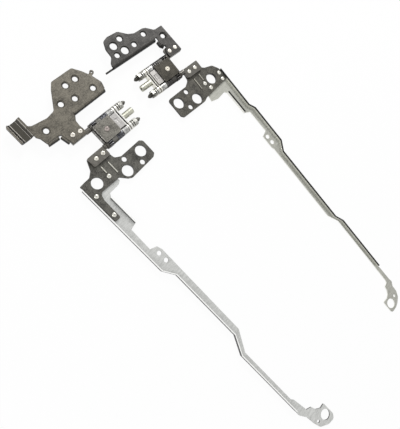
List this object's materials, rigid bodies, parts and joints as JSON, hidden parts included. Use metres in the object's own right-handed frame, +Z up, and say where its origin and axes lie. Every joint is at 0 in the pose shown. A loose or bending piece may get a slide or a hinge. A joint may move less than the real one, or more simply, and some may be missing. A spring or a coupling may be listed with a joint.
{
  "type": "laptop hinge pair",
  "caption": "Friction hinges for a fold-round convertible laptop, opened flat, with base brackets, lid brackets and long screen arms",
  "frame": {"origin": "the mouth of the left hinge's cap post, midway between its two shafts", "axes": "+X along the left hinge's shafts towards their threaded ends, +Y from the lid side to the base side, +Z up out of the brackets' faces"},
  "size_m": [0.1212, 0.2506, 0.0067],
  "materials": {
    "bracket_steel": "dull grey-brown nickel plating over pressed steel",
    "zinc_sheet": "satin zinc-coated sheet",
    "shaft_steel": "hardened, oiled steel",
    "rivet_steel": "pale satin steel",
    "dark_steel": "blackened steel, oily",
    "bright_steel": "bright ground steel",
    "brass_plated": "pale yellow passivated"
  },
  "bodies": {
    "base_set": {"left_base_bracket": "bracket_steel", "left_base_foot_rivets": "rivet_steel", "left_base_shaft": "shaft_steel", "left_base_gear": "bright_steel", "left_base_collar": "bright_steel", "left_base_washer": "bright_steel", "left_base_springs": "bright_steel", "left_base_nut": "bright_steel", "right_base_bracket": "bracket_steel", "right_base_foot_rivets": "rivet_steel", "right_base_shaft": "shaft_steel", "right_base_gear": "bright_steel", "right_base_collar": "bright_steel", "right_base_washer": "bright_steel", "right_base_springs": "bright_steel", "right_base_nut": "bright_steel"},
    "left_housing": {"left_end_plate": "dark_steel", "left_core_block": "dark_steel", "left_friction_bands": "dark_steel", "left_cover_plates": "bracket_steel", "left_cover_rivet": "rivet_steel", "left_idler_pins": "rivet_steel", "left_spacer_block": "bright_steel", "left_link_plates": "bright_steel", "left_link_packing": "dark_steel", "left_cap_post": "brass_plated"},
    "left_idler_base_gear": {"left_idler_base": "bright_steel"},
    "left_idler_lid_gear": {"left_idler_lid": "bright_steel"},
    "left_lid_set": {"left_lid_shaft": "shaft_steel", "left_lid_gear": "bright_steel", "left_lid_collar": "bright_steel", "left_lid_washer": "bright_steel", "left_lid_springs": "bright_steel", "left_lid_nut": "bright_steel", "left_lid_bracket": "bracket_steel", "left_lid_foot_rivets": "rivet_steel", "left_arm": "zinc_sheet", "left_arm_rivets": "rivet_steel"},
    "right_housing": {"right_end_plate": "dark_steel", "right_core_block": "dark_steel", "right_friction_bands": "dark_steel", "right_cover_plates": "bracket_steel", "right_cover_rivet": "rivet_steel", "right_idler_pins": "rivet_steel", "right_spacer_block": "bright_steel", "right_link_plates": "bright_steel", "right_link_packing": "dark_steel", "right_cap_post": "brass_plated"},
    "right_idler_base_gear": {"right_idler_base": "bright_steel"},
    "right_idler_lid_gear": {"right_idler_lid": "bright_steel"},
    "right_lid_set": {"right_lid_shaft": "shaft_steel", "right_lid_gear": "bright_steel", "right_lid_collar": "bright_steel", "right_lid_washer": "bright_steel", "right_lid_springs": "bright_steel", "right_lid_nut": "bright_steel", "right_lid_bracket": "bracket_steel", "right_lid_foot_rivets": "rivet_steel", "right_arm": "zinc_sheet", "right_arm_rivets": "rivet_steel"}
  },
  "joints": [
    {"name": "left_housing_turn", "type": "hinge", "parent": "base_set", "child": "left_housing", "pos_m": [-0.0204, 0.006, 0], "axis": [1, 0, 0], "range_deg": [-90, 90]},
    {"name": "left_lid_turn", "type": "hinge", "parent": "left_housing", "child": "left_lid_set", "pos_m": [-0.0204, -0.006, 0], "axis": [1, 0, 0], "range_deg": [-90, 90]},
    {"name": "left_idler_base_turn", "type": "hinge", "parent": "left_housing", "child": "left_idler_base_gear", "pos_m": [-0.0204, 0.002, 0], "axis": [1, 0, 0], "range_deg": [-90, 90]},
    {"name": "left_idler_lid_turn", "type": "hinge", "parent": "left_housing", "child": "left_idler_lid_gear", "pos_m": [-0.0204, -0.002, 0], "axis": [1, 0, 0], "range_deg": [-90, 90]},
    {"name": "right_housing_turn", "type": "hinge", "parent": "base_set", "child": "right_housing", "pos_m": [0.03369, 0.01042, 0], "axis": [0.9986, -0.0523, 0], "range_deg": [-90, 90]},
    {"name": "right_lid_turn", "type": "hinge", "parent": "right_housing", "child": "right_lid_set", "pos_m": [0.03306, -0.00156, 0], "axis": [0.9986, -0.0523, 0], "range_deg": [-90, 90]},
    {"name": "right_idler_base_turn", "type": "hinge", "parent": "right_housing", "child": "right_idler_base_gear", "pos_m": [0.03348, 0.00643, 0], "axis": [0.9986, -0.0523, 0], "range_deg": [-90, 90]},
    {"name": "right_idler_lid_turn", "type": "hinge", "parent": "right_housing", "child": "right_idler_lid_gear", "pos_m": [0.03327, 0.00244, 0], "axis": [0.9986, -0.0523, 0], "range_deg": [-90, 90]}
  ],
  "couplings": [
    {"joint": "left_lid_turn", "follows": "left_housing_turn", "ratio": 1},
    {"joint": "left_idler_base_turn", "follows": "left_housing_turn", "ratio": 1},
    {"joint": "left_idler_lid_turn", "follows": "left_housing_turn", "ratio": -1},
    {"joint": "right_lid_turn", "follows": "right_housing_turn", "ratio": 1},
    {"joint": "right_idler_base_turn", "follows": "right_housing_turn", "ratio": 1},
    {"joint": "right_idler_lid_turn", "follows": "right_housing_turn", "ratio": -1}
  ]
}
